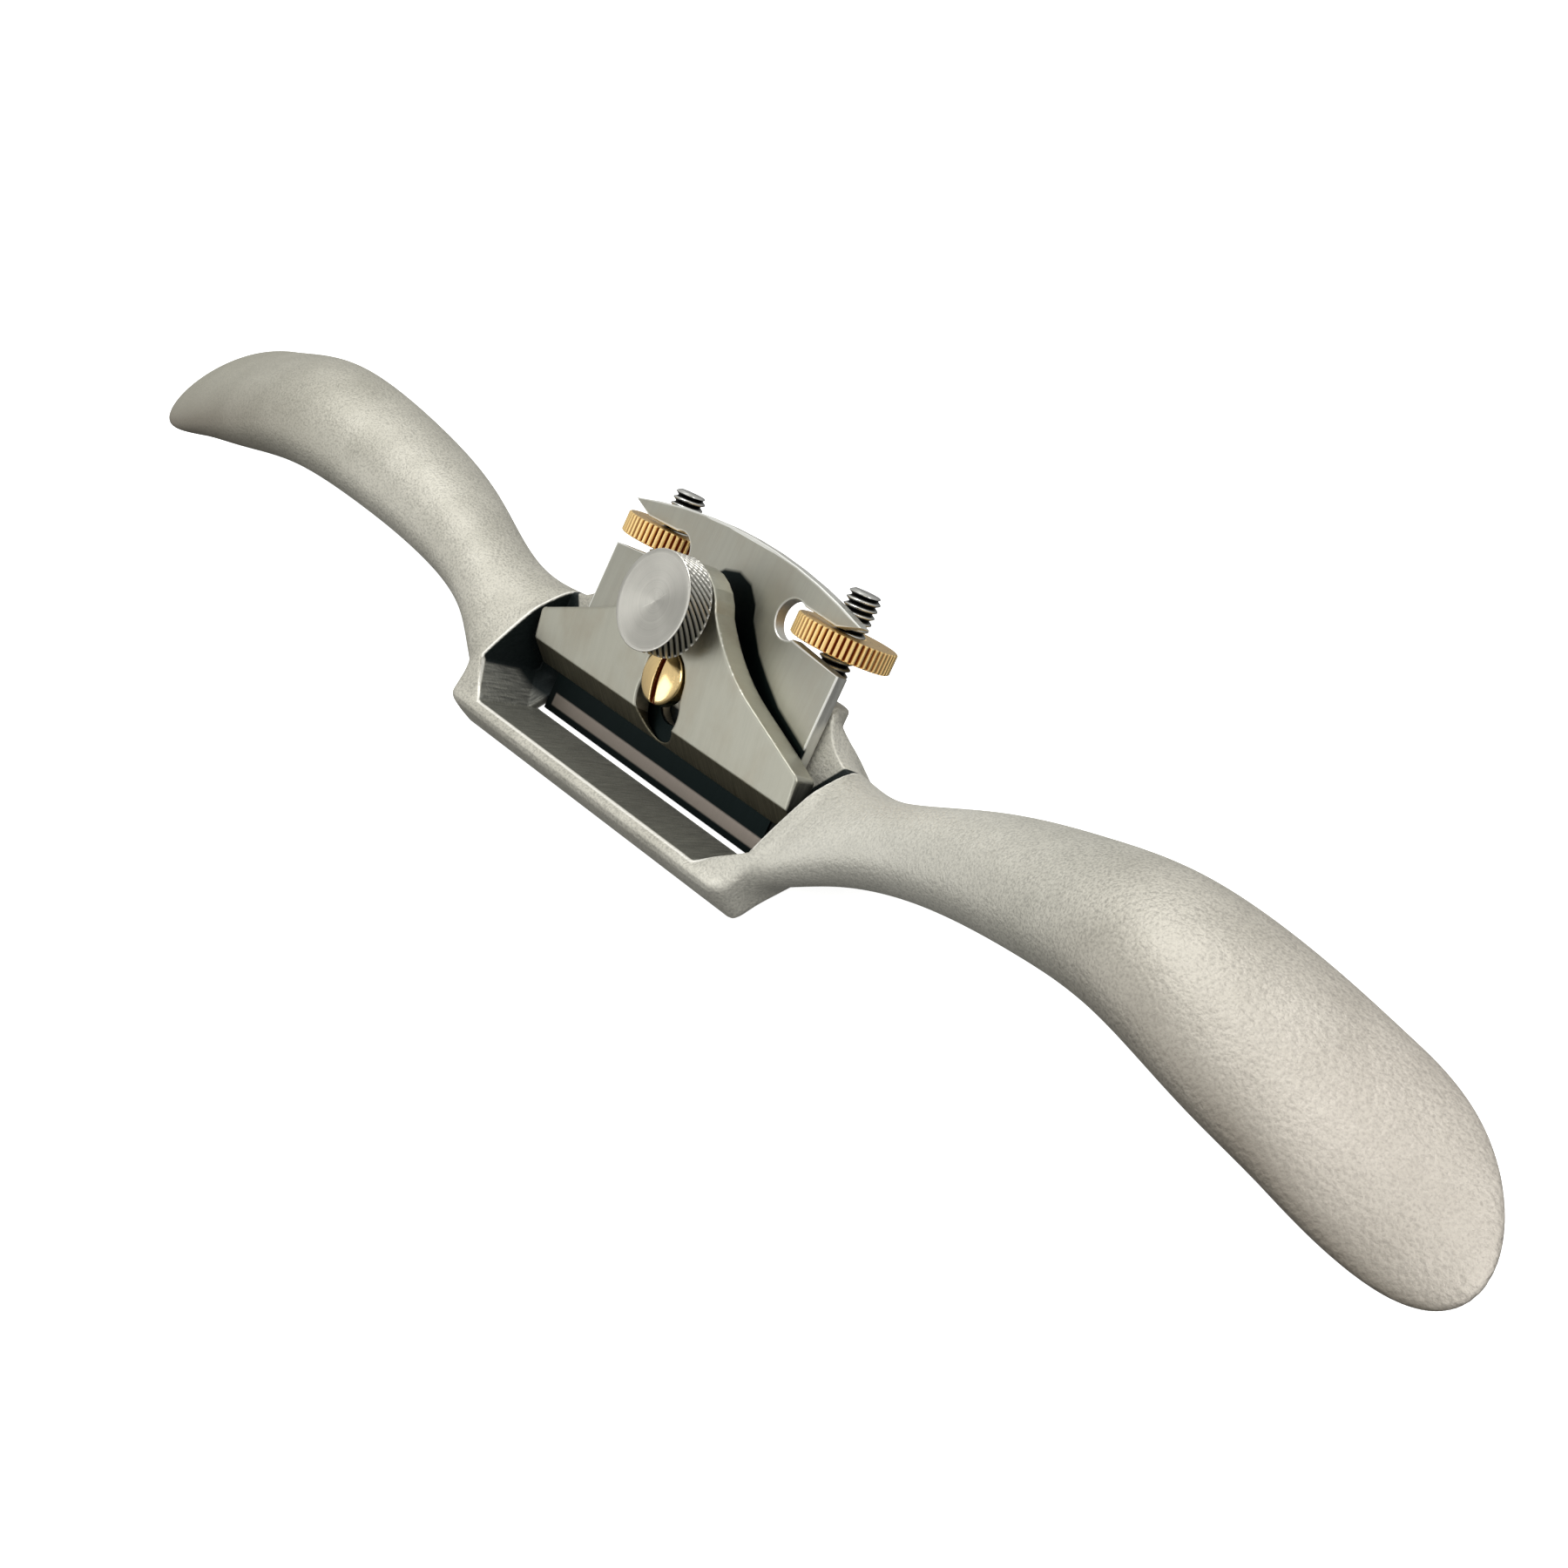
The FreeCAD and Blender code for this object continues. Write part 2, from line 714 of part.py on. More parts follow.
stand, thick = size("thumb_stand_off"), size("thumb_thick")
thumb_r, shank_r, trim = size("thumb_radius"), size("thumb_shank_radius"), size("thumb_chamfer")
shank_end = -thumb_rise + 0.35
thumbscrew = turned(
    "thumbscrew",
    (zero, *bed_point(thumb_up, thumb_rise)),
    bed,
    [
        (zero, shank_end),
        (Size(1.2, "1.2"), shank_end),
        (shank_r, shank_end + 1.6),
        (shank_r, size("thumb_collar_low")),
        (size("thumb_collar_radius"), size("thumb_collar_low")),
        (size("thumb_collar_radius"), stand),
        (thumb_r - trim, stand),
        (thumb_r, stand + trim),
        (thumb_r, stand + thick - trim),
        (thumb_r - trim, stand + thick),
        (thumb_r - trim - 0.6, stand + thick),
        (zero, stand + thick - size("thumb_dish")),
    ],
)

# ---------------------------------------------------------------- lever cap screw

head_r, screw_r = size("cap_screw_head_radius"), size("cap_screw_radius")
cap_screw = turned(
    "lever_cap_screw",
    (zero, *bed_point(size("cap_screw_up"), zero)),
    bed,
    [
        (zero, -size("cap_screw_end")),
        (screw_r - 0.5, -size("cap_screw_end")),
        (screw_r, Size(0.5, "0.5") - size("cap_screw_end")),
        (screw_r, size("cap_screw_head_low")),
        (head_r, size("cap_screw_head_low")),
        (head_r, size("cap_screw_head_edge")),
        (head_r * 0.82, size("cap_screw_head_top") - 0.35),
        (head_r * 0.45, size("cap_screw_head_top") - 0.07),
        (zero, size("cap_screw_head_top")),
    ],
)
slot_wide, slot_deep = size("screw_slot_width") / 2, size("screw_slot_depth")
sketch = sketch_in(cap_screw, "XZ_Plane", "driver_slot")
outline(sketch, [
    (-slot_wide, size("cap_screw_head_top") - slot_deep),
    (slot_wide, size("cap_screw_head_top") - slot_deep),
    (slot_wide, size("cap_screw_head_top") + 2),
    (-slot_wide, size("cap_screw_head_top") + 2),
])
pocket(cap_screw, sketch, "driver_slot_cut", Size(20, "20"), midplane=True)

# ---------------------------------------------------------------- adjusters

stud_r, root_r = size("stud_radius"), size("stud_root_radius")
stud_low, stud_top = size("stud_low"), size("stud_top")
nut_r, nut_trim = size("nut_radius"), size("nut_chamfer")
nut_low, nut_high = size("nut_up"), size("nut_up") + size("nut_thick")
bore = stud_r + size("tap_clearance")
for side, word in ((-1, "left"), (1, "right")):
    axis = (size("stud_x") * side, *bed_point(zero, -size("stud_back")))
    turned(f"adjuster_stud_{word}", axis, -bed, [
        (zero, stud_low),
        (root_r - 0.4, stud_low),
        (root_r, stud_low + 0.4),
        (root_r, size("boss_top") + 0.1),
        (stud_r, size("boss_top") + 0.1),
        (stud_r, stud_top - 0.5),
        (stud_r - 0.5, stud_top),
        (zero, stud_top),
    ])
    turned(f"adjuster_nut_{word}", axis, -bed, [
        (bore, nut_low),
        (nut_r - nut_trim, nut_low),
        (nut_r, nut_low + nut_trim),
        (nut_r, nut_high - nut_trim),
        (nut_r - nut_trim, nut_high),
        (bore, nut_high),
    ])

# ---------------------------------------------------------------- check and write

doc.recompute()
for item in doc.Objects:
    if "Invalid" in item.State or "Error" in item.State:
        raise RuntimeError(f"{item.Name} failed: {item.State}")
bodies = [item for item in doc.Objects if item.TypeId == "PartDesign::Body"]
for body in bodies:
    if body.Shape.isNull() or not body.Shape.isValid() or len(body.Shape.Solids) != 1:
        raise RuntimeError(f"{body.Label} is not one valid solid")

os.makedirs("parts", exist_ok=True)
for body in bodies:
    body.Shape.exportStep(f"parts/{body.Label}.step")
    box = body.Shape.BoundBox
    print(f"{body.Label}: {body.Shape.Volume:.1f} mm3, x {box.XMin:.2f} to {box.XMax:.2f}, "
          f"y {box.YMin:.2f} to {box.YMax:.2f}, z {box.ZMin:.2f} to {box.ZMax:.2f}")
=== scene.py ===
import math

import bmesh
import bpy
import numpy as np
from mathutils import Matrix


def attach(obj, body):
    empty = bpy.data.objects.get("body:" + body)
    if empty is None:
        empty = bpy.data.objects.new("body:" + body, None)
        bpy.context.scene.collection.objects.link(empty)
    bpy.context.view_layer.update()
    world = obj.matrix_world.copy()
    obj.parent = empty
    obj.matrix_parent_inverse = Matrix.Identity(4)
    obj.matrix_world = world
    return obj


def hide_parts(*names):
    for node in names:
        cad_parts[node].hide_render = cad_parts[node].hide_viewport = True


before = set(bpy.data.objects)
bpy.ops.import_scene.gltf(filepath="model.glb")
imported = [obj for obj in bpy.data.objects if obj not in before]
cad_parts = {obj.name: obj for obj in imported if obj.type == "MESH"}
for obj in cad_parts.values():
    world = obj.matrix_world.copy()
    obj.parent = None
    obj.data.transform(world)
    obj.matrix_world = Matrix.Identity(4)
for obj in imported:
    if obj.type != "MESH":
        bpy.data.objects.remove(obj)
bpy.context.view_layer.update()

import openvdb
from mathutils import Matrix, Vector
from mathutils.geometry import tessellate_polygon

# The tool's own sizes are in millimetres here, and MM turns them into the scene's metres.
MM = 0.001
BED = math.radians(45.0)
CAP_TILT = math.radians(10.7)
MIDDLE_UP = math.sqrt(0.5)

# ------------------------------------------------------------------ camera and light

camera = bpy.data.objects.new("camera", bpy.data.cameras.new("camera"))
bpy.context.collection.objects.link(camera)
camera.data.sensor_width = 36.0
camera.data.lens = 54.35
camera.data.clip_start = 0.01
camera.data.clip_end = 20.0
camera.location = (0.24822, -0.11684, 0.21227)
camera.rotation_euler = (math.radians(50.464), math.radians(10.697), math.radians(51.915))
bpy.context.scene.camera = camera
bpy.context.scene.view_settings.view_transform = "Standard"


def area_light(name, place, target, size, power):
    """A soft rectangular light aimed at a target, in metres and watts."""
    light = bpy.data.lights.new(name, "AREA")
    light.shape = "RECTANGLE"
    light.size, light.size_y = size
    light.energy = power
    lamp = bpy.data.objects.new(name, light)
    bpy.context.collection.objects.link(lamp)
    lamp.location = place
    aim = Vector(target) - Vector(place)
    lamp.rotation_euler = aim.to_track_quat("-Z", "Y").to_euler()


area_light("key", (-0.20, 0.20, 0.90), (0, 0, 0), (0.35, 0.35), 3.0)
area_light("edge", (0.75, 0.10, 0.50), (0.05, 0, 0), (0.3, 0.6), 2.6)
area_light("front", (-0.45, -0.75, 0.30), (0, 0, 0), (0.3, 0.5), 1.0)

# The studio is bright overhead, mid grey at the horizon and dark below.
world = bpy.data.worlds.new("studio")
bpy.context.scene.world = world
world.use_nodes = True
sky_nodes = world.node_tree
sky = sky_nodes.nodes["Background"]
sky.inputs["Strength"].default_value = 1.0
direction = sky_nodes.nodes.new("ShaderNodeTexCoord")
parts = sky_nodes.nodes.new("ShaderNodeSeparateXYZ")
height = sky_nodes.nodes.new("ShaderNodeMapRange")
height.inputs["From Min"].default_value = -1.0
shade = sky_nodes.nodes.new("ShaderNodeValToRGB")
SKY = [(0.0, 0.08), (0.22, 0.14), (0.40, 0.38), (0.52, 0.60), (0.72, 0.80), (1.0, 0.95)]
while len(shade.color_ramp.elements) < len(SKY):
    shade.color_ramp.elements.new(0.5)
for element, (place, grey) in zip(shade.color_ramp.elements, SKY):
    element.position = place
    element.color = (grey, grey, grey * 0.98, 1.0)
sky_nodes.links.new(direction.outputs["Generated"], parts.inputs["Vector"])
sky_nodes.links.new(parts.outputs["Z"], height.inputs["Value"])
sky_nodes.links.new(height.outputs["Result"], shade.inputs["Fac"])
sky_nodes.links.new(shade.outputs["Color"], sky.inputs["Color"])

# ------------------------------------------------------------------ node helpers


class Material:
    """A principled material with short calls for the nodes that give it detail."""

    def __init__(self, name, colour, metallic, roughness):
        self.data = bpy.data.materials.new(name)
        self.data.use_nodes = True
        self.tree = self.data.node_tree
        self.shader = self.tree.nodes["Principled BSDF"]
        self.shader.inputs["Base Color"].default_value = (*colour, 1.0)
        self.shader.inputs["Metallic"].default_value = metallic
        self.shader.inputs["Roughness"].default_value = roughness
        self.place = self.node("ShaderNodeTexCoord").outputs["Object"]
        self.apart = self.node("ShaderNodeSeparateXYZ")
        self.link(self.stretched((1.0, 1.0, 1.0)), self.apart.inputs["Vector"])
        self.bumps = None

    def node(self, kind, **settings):
        made = self.tree.nodes.new(kind)
        for name, value in settings.items():
            setattr(made, name, value)
        return made

    def link(self, source, target):
        self.tree.links.new(source, target)

    def stretched(self, scale, rotation=(0, 0, 0)):
        """Object coordinates in millimetres, divided by a scale along each axis."""
        mapping = self.node("ShaderNodeMapping")
        mapping.inputs["Scale"].default_value = [1000.0 / part for part in scale]
        mapping.inputs["Rotation"].default_value = rotation
        self.link(self.place, mapping.inputs["Vector"])
        return mapping.outputs["Vector"]

    def noise(self, scale, detail, rough=0.5):
        """Fractal noise from 0 to 1, whose grain is a size in millimetres along each axis."""
        noise = self.node("ShaderNodeTexNoise")
        noise.inputs["Scale"].default_value = 1.0
        noise.inputs["Detail"].default_value = detail
        noise.inputs["Roughness"].default_value = rough
        self.link(self.stretched(scale), noise.inputs["Vector"])
        return noise.outputs["Fac"]

    def cells(self, size):
        """Rounded pebbles of a size in millimetres."""
        cells = self.node("ShaderNodeTexVoronoi", feature="SMOOTH_F1")
        cells.inputs["Scale"].default_value = 1.0
        cells.inputs["Smoothness"].default_value = 0.6
        self.link(self.stretched((size, size, size)), cells.inputs["Vector"])
        return cells.outputs["Distance"]

    def ramp(self, source, *stops):
        """A colour ramp: each stop is a position and a grey level or a colour."""
        ramp = self.node("ShaderNodeValToRGB")
        while len(ramp.color_ramp.elements) < len(stops):
            ramp.color_ramp.elements.new(0.5)
        for element, (place, colour) in zip(ramp.color_ramp.elements, stops):
            element.position = place
            grey = (colour,) * 3 if isinstance(colour, float) else colour
            element.color = (*grey, 1.0)
        self.link(source, ramp.inputs["Fac"])
        return ramp.outputs["Color"]

    def spread(self, source, low, high, start=0.0, stop=1.0):
        """A number moved from one range into another."""
        spread = self.node("ShaderNodeMapRange")
        ends = {"From Min": start, "From Max": stop, "To Min": low, "To Max": high}
        for name, value in ends.items():
            spread.inputs[name].default_value = value
        self.link(source, spread.inputs["Value"])
        return spread.outputs["Result"]

    def maths(self, operation, first, second):
        sums = self.node("ShaderNodeMath", operation=operation)
        for socket, value in zip(sums.inputs, (first, second)):
            if isinstance(value, float):
                socket.default_value = value
            else:
                self.link(value, socket)
        return sums.outputs["Value"]

    def along(self, axis):
        """The place along one of the piece's own axes, in millimetres."""
        return self.apart.outputs[axis]

    def aside(self):
        """How far out from the middle plane, in millimetres."""
        return self.maths("ABSOLUTE", self.along("X"), 0.0)

    def within(self, place, low, high, soft=0.15):
        """1 where a number lies between two others and 0 elsewhere, with soft ends."""
        above = self.spread(place, 0.0, 1.0, low - soft, low + soft)
        below = self.spread(place, 1.0, 0.0, high - soft, high + soft)
        return self.maths("MULTIPLY", above, below)

    def overlap(self, *masks):
        """Where all of several masks are 1."""
        product = masks[0]
        for mask in masks[1:]:
            product = self.maths("MULTIPLY", product, mask)
        return product

    def radius(self):
        """How far from the piece's own Z axis, in millimetres."""
        squares = [self.maths("MULTIPLY", self.along(axis), self.along(axis)) for axis in ("X", "Y")]
        return self.maths("SQRT", self.maths("ADD", *squares), 0.0)

    def blend(self, amount, first, second, mode="MIX"):
        mix = self.node("ShaderNodeMix", data_type="RGBA", blend_type=mode)
        # Inputs 0, 6 and 7 are the factor and the two colours.
        for place, value in ((0, amount), (6, first), (7, second)):
            socket = mix.inputs[place]
            if isinstance(value, float):
                socket.default_value = value
            elif isinstance(value, tuple):
                socket.default_value = (*value, 1.0)
            else:
                self.link(value, socket)
        return mix.outputs[2]

    def bump(self, height, strength, distance):
        """Add one layer of relief, whose distance is in millimetres."""
        bump = self.node("ShaderNodeBump")
        bump.inputs["Strength"].default_value = strength
        bump.inputs["Distance"].default_value = distance * MM
        self.link(height, bump.inputs["Height"])
        if self.bumps is not None:
            self.link(self.bumps, bump.inputs["Normal"])
        self.bumps = bump.outputs["Normal"]
        self.link(self.bumps, self.shader.inputs["Normal"])

    def colour(self, source):
        self.link(source, self.shader.inputs["Base Color"])

    def roughness(self, source):
        self.link(source, self.shader.inputs["Roughness"])

    def edges(self, sharp=0.55, soft=0.52):
        """How far a place stands out as an edge, from 0 to 1, used to paint highlights along edges.
        """
        geometry = self.node("ShaderNodeNewGeometry")
        return self.spread(geometry.outputs["Pointiness"], 0.0, 1.0, soft, sharp)


# ------------------------------------------------------------------ materials


def blasted_casting():
    """Nickel-grey casting with a fine bead-blasted skin, a painted highlight and painted shade on
    the handles, and a dark machined throat deepened by painted shade, with painted highlights on its
    edges.
    """
    skin = Material("blasted_casting", (0.50, 0.49, 0.45), 0.55, 0.60)
    cloud = skin.noise((9.0, 9.0, 9.0), detail=3.0)
    pebble = skin.cells(0.8)
    grain = skin.noise((0.34, 0.34, 0.34), detail=2.5)
    tone = skin.ramp(cloud, (0.3, (0.45, 0.435, 0.375)), (0.7, (0.56, 0.542, 0.475)))
    specks = skin.ramp(grain, (0.34, 0.62), (0.57, 1.0))
    tone = skin.blend(0.8, tone, specks, "MULTIPLY")
    # The left handle is browner towards its tip, and the right one pinker.
    brown = skin.spread(skin.along("X"), 0.65, 0.0, -145.0, -70.0)
    tone = skin.blend(brown, tone, (0.27, 0.26, 0.20))
    pink = skin.spread(skin.along("X"), 0.0, 0.35, 85.0, 130.0)
    tone = skin.blend(pink, tone, (0.57, 0.49, 0.445))
    # The right handle's root is painted brighter: a painted highlight where the light falls on it.
    painted_neck_highlight = skin.overlap(skin.spread(skin.along("X"), 0.0, 0.4, 20.0, 40.0),
                           skin.spread(skin.aside(), 1.0, 0.0, 55.0, 95.0))
    tone = skin.blend(painted_neck_highlight, tone, (0.74, 0.73, 0.67))
    # The handles' ends are painted darker underneath and in front, as painted shade on the sides
    # turned from the light.
    geometry = skin.node("ShaderNodeNewGeometry")
    facing = skin.node("ShaderNodeSeparateXYZ")
    skin.link(geometry.outputs["Normal"], facing.inputs["Vector"])
    under = skin.spread(facing.outputs["Z"], 1.0, 0.0, -0.45, 0.45)
    front = skin.spread(facing.outputs["Y"], 1.0, 0.0, -0.80, -0.20)
    painted_handle_shade = skin.overlap(skin.maths("MAXIMUM", under, front),
                        skin.spread(skin.aside(), 0.0, 0.75, 85.0, 125.0))
    tone = skin.blend(painted_handle_shade, tone, (0.19, 0.165, 0.13))
    # The throat lies behind the lip's edge, which runs back along the rough front corners.
    past_ramp = skin.maths("MAXIMUM", skin.maths("SUBTRACT", skin.aside(), 27.9), 0.0)
    behind = skin.maths("SUBTRACT", skin.along("Y"), skin.maths("MULTIPLY", past_ramp, 0.869))
    throat = skin.overlap(skin.within(behind, -9.25, 9.5),
                          skin.within(skin.aside(), -1.0, 34.5, 0.08),
                          skin.within(skin.along("Z"), 0.3, 12.0))
    # The throat's colours are darker than the skin: a streaked machined grey on the ramp and rough
    # corners, deepened by painted shade.
    streaks = skin.noise((0.35, 3.0, 3.0), detail=3.0)
    ramp = skin.ramp(streaks, (0.3, (0.10, 0.10, 0.085)), (0.7, (0.17, 0.17, 0.145)))
    corner = skin.ramp(streaks, (0.3, (0.09, 0.092, 0.082)), (0.7, (0.22, 0.22, 0.195)))
    ramp = skin.blend(skin.within(skin.aside(), 27.7, 40.0), ramp, corner)
    # Behind the mouth and on the side walls the throat is painted near-black, as painted shade.
    depth = skin.maths("MAXIMUM", skin.spread(skin.along("Y"), 0.0, 1.0, 0.0, 1.5),
                       skin.spread(skin.aside(), 0.0, 1.0, 33.7, 34.2))
    ramp = skin.blend(depth, ramp, (0.006, 0.011, 0.011))
    tone = skin.blend(throat, tone, ramp)
    # The machined edges round the throat get a painted highlight.
    lip_edge = skin.overlap(skin.within(behind, -9.75, -9.3, 0.1),
                            skin.within(skin.aside(), -1.0, 34.6))
    side_edge = skin.overlap(skin.within(skin.aside(), 34.5, 34.8, 0.1),
                             skin.within(behind, -9.6, 9.0))
    painted_throat_edge_highlight = skin.overlap(skin.maths("MAXIMUM", lip_edge, side_edge),
                          skin.within(skin.along("Z"), 6.5, 12.5))
    skin.colour(skin.blend(painted_throat_edge_highlight, tone, (0.76, 0.745, 0.69)))
    skin.roughness(skin.spread(grain, 0.46, 0.62, 0.3, 0.7))
    coarse = skin.spread(skin.along("X"), 0.4, 1.0, 80.0, 125.0)
    skin.bump(skin.maths("MULTIPLY", pebble, coarse), 0.6, 0.20)
    skin.bump(grain, 0.7, 0.13)
    return skin.data


def ground_steel(name, colour, stain):
    """Ground steel, with scratches up the bed and a faint brown stain."""
    steel = Material(name, colour, 1.0, 0.42)
    fine = steel.noise((0.12, 14.0, 1.0), detail=4.0, rough=0.65)
    wide = steel.noise((0.9, 30.0, 3.0), detail=3.0)
    cloud = steel.noise((7.0, 11.0, 7.0), detail=4.0, rough=0.6)
    dark = tuple(part * 0.87 for part in colour)
    tone = steel.ramp(fine, (0.32, dark), (0.66, colour))
    bright = tuple(part * 1.08 for part in colour)
    tone = steel.blend(steel.spread(wide, 0.0, 0.25, 0.4, 0.65), tone, bright)
    browned = steel.spread(cloud, 0.0, stain, 0.45, 0.75)
    tone = steel.blend(browned, tone, (0.30, 0.245, 0.17))
    steel.roughness(steel.spread(fine, 0.34, 0.52, 0.3, 0.7))
    steel.bump(fine, 0.22, 0.02)
    steel.bump(wide, 0.16, 0.02)
    return steel, tone


def iron_steel():
    """The iron's face is painted near-black as shade under the cap and in the throat, with the cap's
    shadow painted along its right side, a lighter strip near the edge painted as a reflection, and
    painted highlights on its edges.
    """
    steel, tone = ground_steel("ground_iron", (0.385, 0.38, 0.33), 0.25)
    # The iron's edges get a painted highlight.
    tone = steel.blend(steel.edges(), tone, (0.72, 0.72, 0.68))
    # The painted shadow's edge follows the cap's outline. A ramp holds 0 to 1, so lengths are shares
    # of reach.
    reach = 40.0
    across = steel.maths("SUBTRACT", steel.along("X"), 0.7)
    out = steel.maths("DIVIDE", steel.maths("ABSOLUTE", across, 0.0), reach)
    edge = steel.ramp(out, (0.0, 0.825), (0.08, 0.805), (0.14, 0.753), (0.165, 0.70), (0.26, 0.608),
                      (0.35, 0.548), (0.46, 0.483), (0.775, 0.363), (0.80, 0.33))
    above = steel.maths("SUBTRACT", steel.maths("DIVIDE", steel.along("Y"), reach), edge)
    face = steel.within(steel.along("Z"), -0.4, 1.0)
    # Below that edge the face is painted near-black: painted shade under the cap and in the throat,
    # and the cap's painted shadow along its right side.
    painted_iron_shade = steel.overlap(steel.spread(above, 1.0, 0.0, 0.012, 0.026), face)
    tone = steel.blend(painted_iron_shade, tone, (0.006, 0.010, 0.010))
    # A strip near the cutting edge is painted lighter, as a painted reflection.
    painted_reflection_strip = steel.overlap(steel.within(steel.along("Y"), 1.2, 3.1),
                          steel.within(steel.along("X"), -25.6, 27.5), face)
    steel.colour(steel.blend(painted_reflection_strip, tone, (0.27, 0.235, 0.205)))
    return steel.data


def cap_steel():
    """The cap's face is pale, and its ground front bevel is a darker olive."""
    steel, tone = ground_steel("ground_cap", (0.44, 0.435, 0.37), 0.38)
    # The cap's edges get a painted highlight.
    tone = steel.blend(steel.edges(0.68, 0.54), tone, (0.62, 0.61, 0.56))
    lines = steel.noise((0.16, 9.0, 9.0), detail=4.0)
    bevel = steel.ramp(lines, (0.3, (0.10, 0.09, 0.06)), (0.7, (0.24, 0.22, 0.16)))
    front = steel.maths("ADD", steel.along("Y"), steel.maths("MULTIPLY", steel.along("Z"), -0.1))
    steel.colour(steel.blend(steel.spread(front, 1.0, 0.0, 8.85, 9.0), tone, bevel))
    return steel.data


def turned_metal(name, colour, rough, grooves=None, groove_colour=None):
    """Turned metal: rings about the piece's own axis, a painted highlight on its edges, and darker
    colour towards the roots of any grooves.

    The grooves are given by the radii of their roots and crests, and their lowest and highest place.
    """
    metal = Material(name, colour, 1.0, rough)
    radius = metal.radius()
    join = metal.node("ShaderNodeCombineXYZ")
    metal.link(radius, join.inputs["X"])
    metal.link(metal.along("Z"), join.inputs["Z"])
    rings = metal.node("ShaderNodeTexNoise")
    rings.inputs["Scale"].default_value = 9.0
    rings.inputs["Detail"].default_value = 3.0
    metal.link(join.outputs["Vector"], rings.inputs["Vector"])
    cloud = metal.noise((3.0, 3.0, 3.0), detail=4.0)
    dark = tuple(part * 0.86 for part in colour)
    tone = metal.ramp(rings.outputs["Fac"], (0.3, dark), (0.65, colour))
    dull = tuple(part * 0.7 for part in colour)
    bright = tuple(min(1.0, part * 1.08) for part in colour)
    tone = metal.blend(metal.spread(cloud, 0.0, 0.25, 0.5, 0.75), tone, dull)
    # Edges get a painted highlight.
    tone = metal.blend(metal.edges(), tone, bright)
    if grooves:
        root, crest, low, high = grooves
        deep, shallow = root + (crest - root) * 0.25, crest - (crest - root) * 0.15
        # The grooves are darker towards their roots.
        groove_darkening = metal.overlap(metal.spread(radius, 1.0, 0.0, deep, shallow),
                             metal.spread(radius, 0.0, 1.0, root - 0.12, root - 0.02),
                             metal.within(metal.along("Z"), low, high, 0.03))
        tone = metal.blend(groove_darkening, tone, groove_colour)
    metal.colour(tone)
    metal.roughness(metal.spread(rings.outputs["Fac"], rough * 0.85, rough * 1.2, 0.3, 0.7))
    metal.bump(rings.outputs["Fac"], 0.12, 0.02)
    return metal


def faced_steel():
    """Turned steel whose fine rings stretch its highlights into rays from the centre."""
    steel = turned_metal("faced_steel", (0.50, 0.49, 0.45), 0.34,
                         (7.0, 7.5, 1.9, 6.03), (0.03, 0.035, 0.03))
    steel.shader.inputs["Anisotropic"].default_value = 0.75
    tangent = steel.node("ShaderNodeTangent", direction_type="RADIAL", axis="Z")
    steel.link(tangent.outputs["Tangent"], steel.shader.inputs["Tangent"])
    return steel.data


def slotted_brass():
    """Polished brass, brown inside the driver's slot."""
    metal = turned_metal("brass_polished", (0.84, 0.62, 0.30), 0.15)
    tone = metal.shader.inputs["Base Color"].links[0].from_socket
    turned = metal.node("ShaderNodeSeparateXYZ")
    metal.link(metal.stretched((1.0, 1.0, 1.0), (0.0, 0.0, SLOT_LEAN)), turned.inputs["Vector"])
    slot = metal.within(turned.outputs["X"], -0.5, 0.5, 0.06)
    metal.colour(metal.blend(slot, tone, (0.10, 0.018, 0.012)))
    return metal.data


SLOT_LEAN = math.radians(-8.0)
casting_metal = blasted_casting()
iron_metal = iron_steel()
cap_metal = cap_steel()
stud_metal = turned_metal("stud_steel", (0.50, 0.50, 0.48), 0.30,
                          (1.9, 2.5, 13.0, 39.2), (0.012, 0.012, 0.012)).data
head_metal = faced_steel()
brass = turned_metal("brass", (0.96, 0.66, 0.29), 0.30,
                     (7.15, 7.6, 30.45, 33.35), (0.30, 0.10, 0.035)).data
brass_polished = slotted_brass()

# ------------------------------------------------------------------ mesh helpers


def new_piece(name, points, faces, material, body, nodes, smooth_angle=35.0):
    """Make a piece from points in millimetres, in its own frame."""
    mesh = bpy.data.meshes.new(name)
    mesh.from_pydata((np.asarray(points, float) * MM).tolist(), [], [tuple(f) for f in faces])
    work = bmesh.new()
    work.from_mesh(mesh)
    bmesh.ops.remove_doubles(work, verts=work.verts, dist=0.002 * MM)
    bmesh.ops.recalc_face_normals(work, faces=work.faces)
    work.to_mesh(mesh)
    work.free()
    mesh.shade_smooth()
    if smooth_angle is not None:
        mesh.set_sharp_from_angle(angle=math.radians(smooth_angle))
    mesh.materials.append(material)
    piece = bpy.data.objects.new(name, mesh)
    bpy.context.collection.objects.link(piece)
    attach(piece, body)
    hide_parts(*nodes)
    return piece


def stand(piece, turn, place=(0.0, 0.0, 0.0)):
    """Turn a piece about X and move it to a place given in millimetres."""
    piece.matrix_world = Matrix.Translation(Vector(place) * MM) @ Matrix.Rotation(turn, 4, "X")


def on_bed(x, up, rise):
    """A place in the part's frame, from its place across, up and square to the bed."""
    return x, (up - rise) * MIDDLE_UP, (up + rise) * MIDDLE_UP


# ------------------------------------------------------------------ solid shapes as distance


